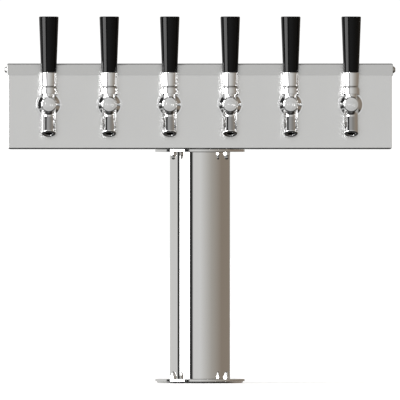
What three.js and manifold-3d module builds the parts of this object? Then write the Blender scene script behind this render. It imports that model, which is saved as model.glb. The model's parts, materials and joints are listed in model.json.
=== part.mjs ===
// A beer tap tower: a round column on a flange carries a long head box with a row of faucets.
// Units are millimetres. +Z is up, +X runs along the head box, and the faucets face -Y.
// The origin is under the middle of the whole tower, on the plane that it stands on.

import * as THREE from "three";
import { mergeVertices } from "three/addons/utils/BufferGeometryUtils.js";
import Module from "manifold-3d";

const wasm = await Module();
wasm.setup();

// ---------------------------------------------------------------- driving dimensions

const INCH = 25.4;
const FIT_GAP = 0.3; // clearance between pieces that rest on each other
const CUT_MARGIN = 5; // how far a cutting shape runs past the face that it opens

// Foot, column and flanges
const BASE_RING_RADIUS = 73;
const BASE_RING_TOP = 2.6;
const FLANGE_RADIUS = 75.5;
const FLANGE_EDGE = 0.8; // bevel on a flange's upper rim
const BASE_FLANGE_THICKNESS = 3.8;
const TOP_FLANGE_THICKNESS = 4.2;
const COLUMN_RADIUS = 2 * INCH;
const COLUMN_WALL = 1.6;
const HEAD_BOTTOM = 394;

// Fasteners of the two flanges
const BOLT_COUNT = 4;
const BOLT_CIRCLE_RADIUS = 2.5 * INCH;
const BOLT_RADIUS = INCH / 8;
const BOLT_HOLE_RADIUS = 3.6;
const NUT_RADIUS = 6.4; // over the corners of the hexagon
const NUT_HEX_HEIGHT = 5.6;
const NUT_HEIGHT = 12.8;
const NUT_DOME_RADIUS = 5.1;
const BOLT_HEAD_HEIGHT = 4.2;

// Head box and lid
const SHEET = 1.5;
const HEAD_LENGTH = 645;
const HEAD_DEPTH = 6 * INCH;
const HEAD_TOP = 538.1; // top of the lid
const BEND_RADIUS = 3;
const LID_CLEARANCE = 0.7;
const LID_SKIRT = 20;
const LID_SCREW_RADIUS = 2.5;
const LID_SCREW_HOLE_RADIUS = 2.9;
const LID_SCREW_HEAD_RADIUS = 5.75;
const LID_SCREW_HEAD_HEIGHT = 4.8;
const LID_SCREW_RIM_HEIGHT = 1.2; // the straight part of the head's edge
const LID_SCREW_CROWN_RADIUS = 4.6;
const LID_SCREW_CROWN_HEIGHT = 3.4;
const LID_SCREW_TIP_RADIUS = 2.3;
const LID_SCREW_TIP_HEIGHT = 4.5;
const LID_SCREW_LENGTH = 14;

// Faucets. In a faucet's own frame the origin is where its shank's axis meets the head box,
// and "forward" is the distance out from the box, towards -Y.
const FAUCET_COUNT = 6;
const FAUCET_PITCH = 4 * INCH;
const FAUCET_HEIGHT = 468.6;

const SHANK_THREAD_RADIUS = 11.1;
const SHANK_HOLE_RADIUS = 11.5;
const SHANK_BORE_RADIUS = 4;
const SHANK_TAIL_RADIUS = 6;
const SHANK_TAIL_END = -74;
const SHANK_THREAD_END = -56;
const SHANK_FLANGE_RADIUS = 21.75;
const SHANK_FLANGE_FRONT = 3.8;
const SHANK_NOSE_RADIUS = 14.2;
const SHANK_NOSE_FRONT = 10;
const SHANK_POCKET_RADIUS = 8;
const SHANK_POCKET_BACK = 5;
const LOCK_NUT_RADIUS = 17;
const LOCK_NUT_THICKNESS = 6.2;

const COUPLING_RADIUS = 18.75;
const COUPLING_BORE_RADIUS = 14.6;
const COUPLING_FRONT = 18;
const COUPLING_LIP_BACK = 13.9;
const COUPLING_LIP_CLEARANCE = 0.4; // between the lip and the faucet's barrel
const COUPLING_EDGE = 1.5;

const BARREL_REAR_RADIUS = 12;
const BARREL_RADIUS = 13;
const BARREL_FLANGE_FRONT = 13.6;
const BARREL_NARROW_END = 24;
const BARREL_WIDE_START = 30;
const DOME_START = 43;
const DOME_LENGTH = 12;
const VALVE_SEAT_BACK = 20.1;
const VALVE_SEAT_FRONT = 23.6;
const VALVE_SEAT_RADIUS = 4.4;
const CHAMBER_RADIUS = 7;
const CHAMBER_FRONT = 46;

const SPOUT_ROOT = 26; // where the spout's axis meets the shank's axis
const SPOUT_LEAN = THREE.MathUtils.degToRad(25);
const SPOUT_LENGTH = 54.7;
const SPOUT_RADIUS = 12;
const SPOUT_BORE_RADIUS = INCH / 4;
const SPOUT_EDGE = 2;

// The neck, bonnet, ferrule, lever and handle are measured up from the pivot of the lever.
const PIVOT_FORWARD = 38;
const PIVOT_UP = 23.4;
const HANDLE_THROW = THREE.MathUtils.degToRad(28);
const BONNET_LEAN = THREE.MathUtils.degToRad(5);
const BALL_RADIUS = 8;
const SOCKET_RADIUS = 8.8;
const NECK_RADIUS = 9.9;
const NECK_TOP = -1;
const NECK_BOTTOM = -16;
const BONNET_DOME_RADIUS = 15.1;
const BONNET_RADIUS = 15;
const BONNET_RIM = 4.5;
const BONNET_SHOULDER = -6.8;
const BONNET_BOTTOM = -7.4;
const BONNET_FOOT_RADIUS = 10.9;
const BONNET_LEDGE = -0.6;
const BONNET_DOME_START = THREE.MathUtils.degToRad(20);

const FERRULE_CUP_RADIUS = 16.2;
const FERRULE_MOUTH_RADIUS = 12.9;
const FERRULE_TOP_RADIUS = 14.2;
const FERRULE_TOP = 30.3;
const STEM_RADIUS = 4;
const STUD_RADIUS = 3 * INCH / 16;
const STUD_TOP = 48;
const FINGER_RADIUS = 1.9;
const FINGER_TIP_RADIUS = 2.2;
const FINGER_LENGTH = 19.5; // from the pivot to the centre of the finger's tip
const SWING_CLEARANCE = 0.4;

const HANDLE_TOP = 124.6;
const HANDLE_TOP_RADIUS = 16.55;
const HANDLE_BOTTOM_RADIUS = 12.95;
const HANDLE_EDGE = 1.2;
const HANDLE_HOLE_RADIUS = 5.2;
const HANDLE_HOLE_TOP = 52;

// The valve's places are distances forward from the head box again.
const VALVE_POPPET_BACK = 16.2;
const VALVE_POPPET_FRONT = 19.6;
const VALVE_POPPET_RADIUS = 6;
const VALVE_ROD_RADIUS = 3;
const VALVE_BLOCK_RADIUS = 6.2;
const VALVE_BLOCK_LENGTH = 9;
const VALVE_SLOT_WIDTH = 5.4;
const VALVE_SLOT_LENGTH = 18.6; // across the block, with room to spare
const VALVE_SLOT_BOTTOM = 1;

// How finely round shapes are divided
const COLUMN_SIDES = 32;
const FAUCET_SIDES = 12;
const INNER_SIDES = 8;
const HOLE_SIDES = 8;
const CORNER_STEPS = 2; // steps of a small arc
const DOME_STEPS = 3;
const LEVER_BALL_STEPS = 4;
const SOCKET_STEPS = 6;
const HEX_SIDES = 6;
const MERGE_DISTANCE = 1e-4; // corners this close are one corner

// ---------------------------------------------------------------- derived places

const COLUMN_BORE_RADIUS = COLUMN_RADIUS - COLUMN_WALL;
const BASE_FLANGE_BOTTOM = BASE_RING_TOP + FIT_GAP;
const BASE_FLANGE_TOP = BASE_FLANGE_BOTTOM + BASE_FLANGE_THICKNESS;
const TOP_FLANGE_TOP = HEAD_BOTTOM - FIT_GAP;
const TOP_FLANGE_BOTTOM = TOP_FLANGE_TOP - TOP_FLANGE_THICKNESS;
const LID_OVERHANG = LID_CLEARANCE + SHEET;
const LID_BOTTOM = HEAD_TOP - LID_SKIRT;
const BOX_TOP = HEAD_TOP - SHEET - FIT_GAP;

// The spout's rim is the foremost point and the lid's back edge is the rearmost one, so
// the column's axis lies behind the origin.
const SPOUT_REACH = SPOUT_ROOT + (SPOUT_LENGTH - SPOUT_EDGE) * Math.sin(SPOUT_LEAN)
  + SPOUT_RADIUS * Math.cos(SPOUT_LEAN);
const COLUMN_Y = (SPOUT_REACH - LID_OVERHANG) / 2;
const HEAD_FRONT_Y = COLUMN_Y - HEAD_DEPTH / 2;

// ---------------------------------------------------------------- materials

function metal(name, color, roughness) {
  return new THREE.MeshStandardMaterial({ name, color, roughness, metalness: 1 });
}

const polishedSteel = metal("polished_steel", 0xc9c8c4, 0.12);
const satinSteel = metal("satin_steel", 0xc2c2c0, 0.42);
const chromedBrass = metal("chromed_brass", 0xd6d7d8, 0.06);
const blackPlastic = new THREE.MeshStandardMaterial({
  name: "black_plastic", color: 0x0d0d0e, roughness: 0.18, metalness: 0,
});

// ---------------------------------------------------------------- solid modelling helpers

// Turns a closed geometry into a solid that can be joined and cut.
function solid(geometry) {
  const bare = geometry.clone();
  bare.deleteAttribute("normal");
  bare.deleteAttribute("uv");
  const merged = mergeVertices(bare, MERGE_DISTANCE);
  const corners = merged.index.array;
  const triVerts = [];
  for (let i = 0; i < corners.length; i += 3) {
    const [a, b, c] = corners.slice(i, i + 3);
    if (a !== b && b !== c && c !== a) {
      triVerts.push(a, b, c);
    }
  }
  return new wasm.Manifold(new wasm.Mesh({
    numProp: 3,
    vertProperties: new Float32Array(merged.attributes.position.array),
    triVerts: new Uint32Array(triVerts),
  }));
}

function joined(geometries) {
  return geometries.map(solid).reduce((whole, piece) => whole.add(piece));
}

function cut(body, cutters) {
  return cutters.reduce((rest, cutter) => rest.subtract(solid(cutter)), body);
}

function part(name, body, material) {
  const { vertProperties, triVerts } = body.getMesh();
  const geometry = new THREE.BufferGeometry();
  geometry.setAttribute("position", new THREE.BufferAttribute(vertProperties, 3));
  geometry.setIndex(new THREE.BufferAttribute(triVerts, 1));
  geometry.computeVertexNormals();
  const mesh = new THREE.Mesh(geometry, material);
  mesh.name = name;
  return mesh;
}

// A shape turned about +Z from an outline of [radius, height] points. The outline runs up
// the outside, and either starts and ends on the axis or comes back down the inside.
function turned(outline, sides) {
  const points = outline.map(([radius, height]) => new THREE.Vector2(radius, height));
  return new THREE.LatheGeometry(points, sides).rotateX(Math.PI / 2);
}

// A turned shape laid down so that its height runs forward, along -Y.
function turnedForward(outline, sides) {
  return turned(outline, sides).rotateX(Math.PI / 2);
}

function rod(radius, bottom, top, sides) {
  return turned([[0, bottom], [radius, bottom], [radius, top], [0, top]], sides);
}

function rodForward(radius, back, front, sides) {
  return rod(radius, back, front, sides).rotateX(Math.PI / 2);
}

// Points on an arc about [0, height], from one angle to another, measured up from the radius.
function arc(radius, height, from, to, steps) {
  return Array.from({ length: steps + 1 }, (_, i) => {
    const angle = from + (to - from) * i / steps;
    return [radius * Math.cos(angle), height + radius * Math.sin(angle)];
  });
}

// Extrudes a (y, z) outline along X, centred on x = 0.
function extrudedAlongX(shape, length) {
  const alongX = new THREE.Matrix4().makeBasis(
    new THREE.Vector3(0, 1, 0), new THREE.Vector3(0, 0, 1), new THREE.Vector3(1, 0, 0));
  return new THREE.ExtrudeGeometry(shape, {
    depth: length, bevelEnabled: false, curveSegments: CORNER_STEPS,
  }).translate(0, 0, -length / 2).applyMatrix4(alongX);
}

// A block along X whose long edges at the bottom or at the top are rounded.
function foldedBlock(length, depth, bottom, top, bottomRadius, topRadius) {
  const half = depth / 2;
  const outline = new THREE.Shape();
  outline.moveTo(-half + bottomRadius, bottom);
  outline.lineTo(half - bottomRadius, bottom);
  if (bottomRadius > 0) {
    outline.absarc(half - bottomRadius, bottom + bottomRadius, bottomRadius, -Math.PI / 2, 0);
  }
  outline.lineTo(half, top - topRadius);
  if (topRadius > 0) {
    outline.absarc(half - topRadius, top - topRadius, topRadius, 0, Math.PI / 2);
  }
  outline.lineTo(-half + topRadius, top);
  if (topRadius > 0) {
    outline.absarc(-half + topRadius, top - topRadius, topRadius, Math.PI / 2, Math.PI);
  }
  outline.lineTo(-half, bottom + bottomRadius);
  if (bottomRadius > 0) {
    outline.absarc(-half + bottomRadius, bottom + bottomRadius, bottomRadius, Math.PI, 1.5 * Math.PI);
  }
  return extrudedAlongX(outline, length).translate(0, COLUMN_Y, 0);
}

function boltPlaces() {
  return Array.from({ length: BOLT_COUNT }, (_, i) => {
    const angle = Math.PI / 4 + i * 2 * Math.PI / BOLT_COUNT;
    return [BOLT_CIRCLE_RADIUS * Math.cos(angle), COLUMN_Y + BOLT_CIRCLE_RADIUS * Math.sin(angle)];
  });
}

function boltHoles(bottom, top) {
  return boltPlaces().map(([x, y]) =>
    rod(BOLT_HOLE_RADIUS, bottom - CUT_MARGIN, top + CUT_MARGIN, HOLE_SIDES).translate(x, y, 0));
}

// ---------------------------------------------------------------- foot and column

function plate(name, radius, boreRadius, bottom, top) {
  const ring = turned([
    [boreRadius, bottom],
    [radius, bottom],
    [radius, top - FLANGE_EDGE],
    [radius - FLANGE_EDGE, top],
    [boreRadius, top],
    [boreRadius, bottom],
  ], COLUMN_SIDES).translate(0, COLUMN_Y, 0);
  return part(name, cut(solid(ring), boltHoles(bottom, top)), polishedSteel);
}

function columnTube() {
  const tube = turned([
    [COLUMN_BORE_RADIUS, BASE_FLANGE_BOTTOM],
    [COLUMN_RADIUS, BASE_FLANGE_BOTTOM],
    [COLUMN_RADIUS, TOP_FLANGE_TOP],
    [COLUMN_BORE_RADIUS, TOP_FLANGE_TOP],
    [COLUMN_BORE_RADIUS, BASE_FLANGE_BOTTOM],
  ], COLUMN_SIDES).translate(0, COLUMN_Y, 0);
  return part("column_tube", solid(tube), polishedSteel);
}

// ---------------------------------------------------------------- fasteners

// An acorn nut with its threaded rod, standing on z = 0 with the rod reaching below.
function acornNut(rodLength) {
  return [
    rod(NUT_RADIUS, 0, NUT_HEX_HEIGHT, HEX_SIDES),
    turned([
      [0, -rodLength],
      [BOLT_RADIUS, -rodLength],
      [BOLT_RADIUS, NUT_HEX_HEIGHT / 2],
      [NUT_DOME_RADIUS, NUT_HEX_HEIGHT / 2],
      ...arc(NUT_DOME_RADIUS, NUT_HEIGHT - NUT_DOME_RADIUS, 0, Math.PI / 2, CORNER_STEPS),
    ], INNER_SIDES),
  ];
}

function baseNuts() {
  const bottom = BASE_FLANGE_TOP + FIT_GAP;
  return boltPlaces().map(([x, y], i) => {
    const nut = part(`base_nut_${i + 1}`, joined(acornNut(bottom - FIT_GAP)), polishedSteel);
    nut.position.set(x, y, bottom);
    return nut;
  });
}

// These nuts point down, and the heads of their bolts lie on the floor of the head box.
function headNuts() {
  const top = TOP_FLANGE_BOTTOM - FIT_GAP;
  const floor = HEAD_BOTTOM + SHEET + FIT_GAP;
  const rodLength = floor + BOLT_HEAD_HEIGHT / 2 - top;
  const boltHead = rod(NUT_RADIUS, top - floor - BOLT_HEAD_HEIGHT, top - floor, HEX_SIDES);
  return boltPlaces().map(([x, y], i) => {
    const nut = part(`head_nut_${i + 1}`, joined([...acornNut(rodLength), boltHead]), polishedSteel);
    nut.rotation.x = Math.PI;
    nut.position.set(x, y, top);
    return nut;
  });
}

// ---------------------------------------------------------------- head box and lid

function faucetPlaces() {
  return Array.from({ length: FAUCET_COUNT }, (_, i) => (i - (FAUCET_COUNT - 1) / 2) * FAUCET_PITCH);
}

function lidScrewHole() {
  const hole = rod(LID_SCREW_HOLE_RADIUS, -HEAD_LENGTH, HEAD_LENGTH, HOLE_SIDES).rotateY(Math.PI / 2);
  return hole.translate(0, COLUMN_Y, (LID_BOTTOM + HEAD_TOP) / 2);
}

function headBox() {
  const shell = foldedBlock(HEAD_LENGTH, HEAD_DEPTH, HEAD_BOTTOM, BOX_TOP, BEND_RADIUS, 0);
  const hollow = foldedBlock(HEAD_LENGTH - 2 * SHEET, HEAD_DEPTH - 2 * SHEET,
    HEAD_BOTTOM + SHEET, BOX_TOP + CUT_MARGIN, BEND_RADIUS - SHEET, 0);
  const lineHole = rod(COLUMN_BORE_RADIUS, HEAD_BOTTOM - CUT_MARGIN, HEAD_BOTTOM + CUT_MARGIN, COLUMN_SIDES)
    .translate(0, COLUMN_Y, 0);
  const shankHoles = faucetPlaces().map((x) =>
    rodForward(SHANK_HOLE_RADIUS, -CUT_MARGIN, CUT_MARGIN, FAUCET_SIDES).translate(x, HEAD_FRONT_Y, FAUCET_HEIGHT));
  const holes = [hollow, lineHole, ...boltHoles(HEAD_BOTTOM, HEAD_BOTTOM + SHEET), ...shankHoles, lidScrewHole()];
  return part("head_box", cut(solid(shell), holes), satinSteel);
}

function lid() {
  const length = HEAD_LENGTH + 2 * LID_OVERHANG;
  const depth = HEAD_DEPTH + 2 * LID_OVERHANG;
  const shell = foldedBlock(length, depth, LID_BOTTOM, HEAD_TOP, 0, BEND_RADIUS);
  const hollow = foldedBlock(length - 2 * SHEET, depth - 2 * SHEET,
    LID_BOTTOM - CUT_MARGIN, HEAD_TOP - SHEET, 0, BEND_RADIUS - SHEET);
  return part("lid", cut(solid(shell), [hollow, lidScrewHole()]), satinSteel);
}

function lidScrew(name, side) {
  const screw = turned([
    [0, -LID_SCREW_LENGTH],
    [LID_SCREW_RADIUS, -LID_SCREW_LENGTH],
    [LID_SCREW_RADIUS, FIT_GAP],
    [LID_SCREW_HEAD_RADIUS, FIT_GAP],
    [LID_SCREW_HEAD_RADIUS, FIT_GAP + LID_SCREW_RIM_HEIGHT],
    [LID_SCREW_CROWN_RADIUS, FIT_GAP + LID_SCREW_CROWN_HEIGHT],
    [LID_SCREW_TIP_RADIUS, FIT_GAP + LID_SCREW_TIP_HEIGHT],
    [0, FIT_GAP + LID_SCREW_HEAD_HEIGHT],
  ], INNER_SIDES).rotateY(side * Math.PI / 2);
  const mesh = part(name, solid(screw), polishedSteel);
  mesh.position.set(side * (HEAD_LENGTH / 2 + LID_OVERHANG), COLUMN_Y, (LID_BOTTOM + HEAD_TOP) / 2);
  return mesh;
}

// ---------------------------------------------------------------- faucet pieces

function shankSolid() {
  const tube = turnedForward([
    [SHANK_BORE_RADIUS, SHANK_TAIL_END],
    [SHANK_TAIL_RADIUS, SHANK_TAIL_END],
    [SHANK_TAIL_RADIUS, SHANK_THREAD_END],
    [SHANK_THREAD_RADIUS, SHANK_THREAD_END],
    [SHANK_THREAD_RADIUS, FIT_GAP],
    [SHANK_FLANGE_RADIUS, FIT_GAP],
    [SHANK_FLANGE_RADIUS, SHANK_FLANGE_FRONT],
    [SHANK_NOSE_RADIUS, SHANK_FLANGE_FRONT],
    [SHANK_NOSE_RADIUS, SHANK_NOSE_FRONT],
    [SHANK_POCKET_RADIUS, SHANK_NOSE_FRONT],
    [SHANK_POCKET_RADIUS, SHANK_POCKET_BACK],
    [SHANK_BORE_RADIUS, SHANK_POCKET_BACK],
    [SHANK_BORE_RADIUS, SHANK_TAIL_END],
  ], FAUCET_SIDES);
  // The lock nut behind the box's wall is one piece with the shank here. It is bored to the
  // middle of the shank's wall, so that the way through stays open.
  const nutFront = -SHEET - FIT_GAP;
  const nutBore = (SHANK_BORE_RADIUS + SHANK_THREAD_RADIUS) / 2;
  const lockNut = turnedForward([
    [nutBore, nutFront - LOCK_NUT_THICKNESS],
    [LOCK_NUT_RADIUS, nutFront - LOCK_NUT_THICKNESS],
    [LOCK_NUT_RADIUS, nutFront],
    [nutBore, nutFront],
    [nutBore, nutFront - LOCK_NUT_THICKNESS],
  ], HEX_SIDES);
  return joined([tube, lockNut]);
}

function couplingNutSolid() {
  const back = SHANK_FLANGE_FRONT + FIT_GAP;
  const lipRadius = BARREL_REAR_RADIUS + COUPLING_LIP_CLEARANCE;
  return solid(turnedForward([
    [COUPLING_BORE_RADIUS, back],
    [COUPLING_RADIUS, back],
    [COUPLING_RADIUS, COUPLING_FRONT - COUPLING_EDGE],
    [COUPLING_RADIUS - COUPLING_EDGE, COUPLING_FRONT],
    [lipRadius, COUPLING_FRONT],
    [lipRadius, COUPLING_LIP_BACK],
    [COUPLING_BORE_RADIUS, COUPLING_LIP_BACK],
    [COUPLING_BORE_RADIUS, back],
  ], FAUCET_SIDES));
}

// The room that a rod on the pivot sweeps as the handle goes from closed to fully forward.
function sweptRod(radius, length) {
  const closed = rod(radius, 0, length, INNER_SIDES);
  const forward = closed.clone().rotateX(HANDLE_THROW);
  const tipY = -length * Math.sin(HANDLE_THROW);
  const tipZ = length * Math.cos(HANDLE_THROW);
  const fan = new THREE.Shape([
    new THREE.Vector2(0, 0), new THREE.Vector2(0, length), new THREE.Vector2(tipY, tipZ),
  ]);
  return joined([closed, forward, extrudedAlongX(fan, 2 * radius)]);
}

function atPivot(geometry) {
  return geometry.translate(0, -PIVOT_FORWARD, PIVOT_UP);
}

function pivotBall(radius) {
  return turned(arc(radius, 0, -Math.PI / 2, Math.PI / 2, SOCKET_STEPS), FAUCET_SIDES);
}

function faucetBodySolid() {
  const dome = arc(1, 0, 0, Math.PI / 2, DOME_STEPS).map(([across, along]) =>
    [BARREL_RADIUS * across, DOME_START + DOME_LENGTH * along]);
  const barrel = turnedForward([
    [0, SHANK_NOSE_FRONT + FIT_GAP],
    [SHANK_NOSE_RADIUS, SHANK_NOSE_FRONT + FIT_GAP],
    [SHANK_NOSE_RADIUS, BARREL_FLANGE_FRONT],
    [BARREL_REAR_RADIUS, BARREL_FLANGE_FRONT],
    [BARREL_REAR_RADIUS, BARREL_NARROW_END],
    [BARREL_RADIUS, BARREL_WIDE_START],
    ...dome,
  ], FAUCET_SIDES);
  const spout = turned([
    [0, 0],
    [SPOUT_RADIUS, 0],
    [SPOUT_RADIUS, SPOUT_LENGTH - SPOUT_EDGE],
    [SPOUT_RADIUS - SPOUT_EDGE, SPOUT_LENGTH],
    [0, SPOUT_LENGTH],
  ], FAUCET_SIDES).rotateX(Math.PI - SPOUT_LEAN).translate(0, -SPOUT_ROOT, 0);
  const neck = atPivot(rod(NECK_RADIUS, NECK_BOTTOM, NECK_TOP, FAUCET_SIDES).rotateX(-BONNET_LEAN));

  const inlet = rodForward(SHANK_POCKET_RADIUS, 0, VALVE_SEAT_BACK, INNER_SIDES);
  const seat = rodForward(VALVE_SEAT_RADIUS, 0, CHAMBER_FRONT, INNER_SIDES);
  const chamber = rodForward(CHAMBER_RADIUS, VALVE_SEAT_FRONT, CHAMBER_FRONT, INNER_SIDES);
  const outlet = rod(SPOUT_BORE_RADIUS, SPOUT_EDGE, SPOUT_LENGTH + CUT_MARGIN, INNER_SIDES)
    .rotateX(Math.PI - SPOUT_LEAN).translate(0, -SPOUT_ROOT, 0);
  const socket = atPivot(pivotBall(SOCKET_RADIUS));
  const body = cut(joined([barrel, spout, neck]), [inlet, seat, chamber, outlet, socket]);

  const fingerRoom = sweptRod(FINGER_TIP_RADIUS + SWING_CLEARANCE, FINGER_LENGTH + FINGER_TIP_RADIUS)
    .rotate([180, 0, 0]).translate([0, -PIVOT_FORWARD, PIVOT_UP]);
  return body.subtract(fingerRoom);
}

function bonnetSolid() {
  const shell = turned([
    [0, BONNET_BOTTOM],
    [BONNET_FOOT_RADIUS, BONNET_BOTTOM],
    [BONNET_RADIUS, BONNET_SHOULDER],
    [BONNET_RADIUS, BONNET_RIM],
    ...arc(BONNET_DOME_RADIUS, 0, BONNET_DOME_START, Math.PI / 2, DOME_STEPS),
  ], FAUCET_SIDES).rotateX(-BONNET_LEAN);
  const neckRoom = rod(NECK_RADIUS + FIT_GAP, BONNET_BOTTOM - CUT_MARGIN, BONNET_LEDGE, FAUCET_SIDES)
    .rotateX(-BONNET_LEAN);
  const body = cut(solid(shell), [neckRoom, pivotBall(SOCKET_RADIUS)]);
  const slot = sweptRod(STEM_RADIUS + SWING_CLEARANCE, FERRULE_CUP_RADIUS + CUT_MARGIN);
  return body.subtract(slot).translate([0, -PIVOT_FORWARD, PIVOT_UP]);
}

function leverSolid() {
  const ballTop = Math.acos(STEM_RADIUS / BALL_RADIUS);
  const ballBottom = -Math.acos(FINGER_RADIUS / BALL_RADIUS);
  const cupInside = Math.acos(STEM_RADIUS / FERRULE_CUP_RADIUS);
  const cupMouth = Math.acos(FERRULE_MOUTH_RADIUS / FERRULE_CUP_RADIUS);
  return solid(atPivot(turned([
    ...arc(FINGER_TIP_RADIUS, -FINGER_LENGTH, -Math.PI / 2, Math.PI / 6, CORNER_STEPS),
    ...arc(BALL_RADIUS, 0, ballBottom, ballTop, LEVER_BALL_STEPS),
    ...arc(FERRULE_CUP_RADIUS, 0, cupInside, cupMouth, CORNER_STEPS),
    [FERRULE_TOP_RADIUS, FERRULE_TOP],
    [STUD_RADIUS, FERRULE_TOP],
    [STUD_RADIUS, STUD_TOP],
    [0, STUD_TOP],
  ], FAUCET_SIDES)));
}

function handleSolid() {
  const bottom = FERRULE_TOP + FIT_GAP;
  return solid(atPivot(turned([
    [0, HANDLE_HOLE_TOP],
    [HANDLE_HOLE_RADIUS, HANDLE_HOLE_TOP],
    [HANDLE_HOLE_RADIUS, bottom],
    [HANDLE_BOTTOM_RADIUS - HANDLE_EDGE, bottom],
    [HANDLE_BOTTOM_RADIUS, bottom + HANDLE_EDGE],
    [HANDLE_TOP_RADIUS, HANDLE_TOP - HANDLE_EDGE],
    [HANDLE_TOP_RADIUS - HANDLE_EDGE, HANDLE_TOP],
    [0, HANDLE_TOP],
  ], FAUCET_SIDES)));
}

function valveShaftSolid() {
  const blockBack = PIVOT_FORWARD - VALVE_BLOCK_LENGTH / 2;
  const blockFront = PIVOT_FORWARD + VALVE_BLOCK_LENGTH / 2;
  const shaft = turnedForward([
    [0, VALVE_POPPET_BACK],
    [VALVE_POPPET_RADIUS, VALVE_POPPET_BACK],
    [VALVE_POPPET_RADIUS, VALVE_POPPET_FRONT],
    [VALVE_ROD_RADIUS, VALVE_POPPET_FRONT],
    [VALVE_ROD_RADIUS, blockBack],
    [VALVE_BLOCK_RADIUS, blockBack],
    [VALVE_BLOCK_RADIUS, blockFront],
    [0, blockFront],
  ], INNER_SIDES);
  const slotHeight = 2 * VALVE_BLOCK_RADIUS;
  const slot = new THREE.BoxGeometry(VALVE_SLOT_LENGTH, VALVE_SLOT_WIDTH, slotHeight)
    .translate(0, -PIVOT_FORWARD, VALVE_SLOT_BOTTOM + slotHeight / 2);
  return cut(solid(shaft), [slot]);
}

// ---------------------------------------------------------------- assembly

const tower = new THREE.Group();
tower.add(
  plate("base_ring", BASE_RING_RADIUS, COLUMN_BORE_RADIUS, 0, BASE_RING_TOP),
  plate("base_flange", FLANGE_RADIUS, COLUMN_RADIUS + FIT_GAP, BASE_FLANGE_BOTTOM, BASE_FLANGE_TOP),
  columnTube(),
  plate("top_flange", FLANGE_RADIUS, COLUMN_RADIUS + FIT_GAP, TOP_FLANGE_BOTTOM, TOP_FLANGE_TOP),
  ...baseNuts(),
  ...headNuts(),
  headBox(),
  lid(),
  lidScrew("lid_screw_left", -1),
  lidScrew("lid_screw_right", 1),
);

const faucetPieces = [
  ["shank", shankSolid(), chromedBrass],
  ["coupling_nut", couplingNutSolid(), chromedBrass],
  ["faucet_body", faucetBodySolid(), chromedBrass],
  ["valve_shaft", valveShaftSolid(), polishedSteel],
  ["bonnet", bonnetSolid(), chromedBrass],
  ["lever", leverSolid(), chromedBrass],
  ["handle", handleSolid(), blackPlastic],
];

faucetPlaces().forEach((x, i) => {
  const faucet = new THREE.Group();
  faucet.position.set(x, HEAD_FRONT_Y, FAUCET_HEIGHT);
  for (const [name, body, material] of faucetPieces) {
    faucet.add(part(`${name}_${i + 1}`, body, material));
  }
  tower.add(faucet);
});

export default tower;
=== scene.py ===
"""A beer tap tower in a plain studio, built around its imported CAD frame.

Blender works in metres. Outlines and sizes below are in millimetres, unless a comment says
otherwise, and are scaled where a mesh is made. +Z is up, +X runs along the head box, and the
faucets face -Y.
"""

import json
import math

import bmesh
import bpy
import numpy as np
from mathutils import Matrix, Vector


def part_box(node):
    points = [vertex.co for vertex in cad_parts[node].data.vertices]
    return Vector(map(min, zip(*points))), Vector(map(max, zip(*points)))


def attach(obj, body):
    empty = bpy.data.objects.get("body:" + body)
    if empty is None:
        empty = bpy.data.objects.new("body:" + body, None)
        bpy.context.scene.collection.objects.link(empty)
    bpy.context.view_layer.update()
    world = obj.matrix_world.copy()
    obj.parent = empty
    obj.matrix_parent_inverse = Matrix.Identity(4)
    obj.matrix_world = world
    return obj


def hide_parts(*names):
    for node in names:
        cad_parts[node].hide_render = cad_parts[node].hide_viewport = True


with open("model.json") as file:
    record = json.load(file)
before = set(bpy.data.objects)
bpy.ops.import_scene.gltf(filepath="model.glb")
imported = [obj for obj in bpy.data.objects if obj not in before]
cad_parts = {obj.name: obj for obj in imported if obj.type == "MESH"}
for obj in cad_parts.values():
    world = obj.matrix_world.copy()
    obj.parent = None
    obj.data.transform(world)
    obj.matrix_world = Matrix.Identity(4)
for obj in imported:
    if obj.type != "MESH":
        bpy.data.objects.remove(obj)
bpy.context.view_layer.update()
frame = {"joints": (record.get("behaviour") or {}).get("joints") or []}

# ---------------------------------------------------------------- sizes, in millimetres

MM = 0.001
ROOT = "tower"
FAUCET_COUNT = 6
FIT_GAP = 0.3

COLUMN_SIDES = 192
FINE_SIDES = 128
PART_SIDES = 96
SMALL_SIDES = 48
PIN_HOLE_SIDES = 32
EDGE_STEPS = 6  # flats in a rounded edge
FINE_EDGE_STEPS = 8
FINE_EDGE = 0.2  # radii of eased edges
EDGE = 0.3
WIDE_EDGE = 0.5
SHARP_ANGLE = math.radians(32)
NORMAL_WEIGHT = 80
MERGE_DISTANCE = 1e-5  # in metres
ON_AXIS = 1e-6
CUT_MARGIN = 2.0  # how far a cutter stands out of what it cuts
HALF_EDGE = 0.499  # the most of an edge that one rounded corner may take
PARALLEL = 0.99  # cosines, for telling which way an edge or a face points
FACING = 0.9

SHEET = 1.5
BEND = 3.0
CORNER = 0.8
BEND_STEPS = 5
LINE_HOLE_RADIUS = 49.2
SHANK_HOLE_RADIUS = 11.5
BOLT_COUNT = 4
BOLT_CIRCLE_RADIUS = 63.5
BOLT_HOLE_RADIUS = 3.6
BOLT_RADIUS = 3.175
COLUMN_WALL = 1.6
COLUMN_RIM = 0.4
RING_RIMS = (0.1, 0.1)  # the radii of a plate's lower and upper rim
RING_UNDERCUT = 1.1
FOOT_RIMS = (0.15, 0.35)
COLLAR_RIMS = (0.45, 0.15)
WELD_RADIUS = 0.8
WELD_IN_COLUMN = 0.2
WELD_IN_FLANGE = 0.1
WELD_STEPS = 6

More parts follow.
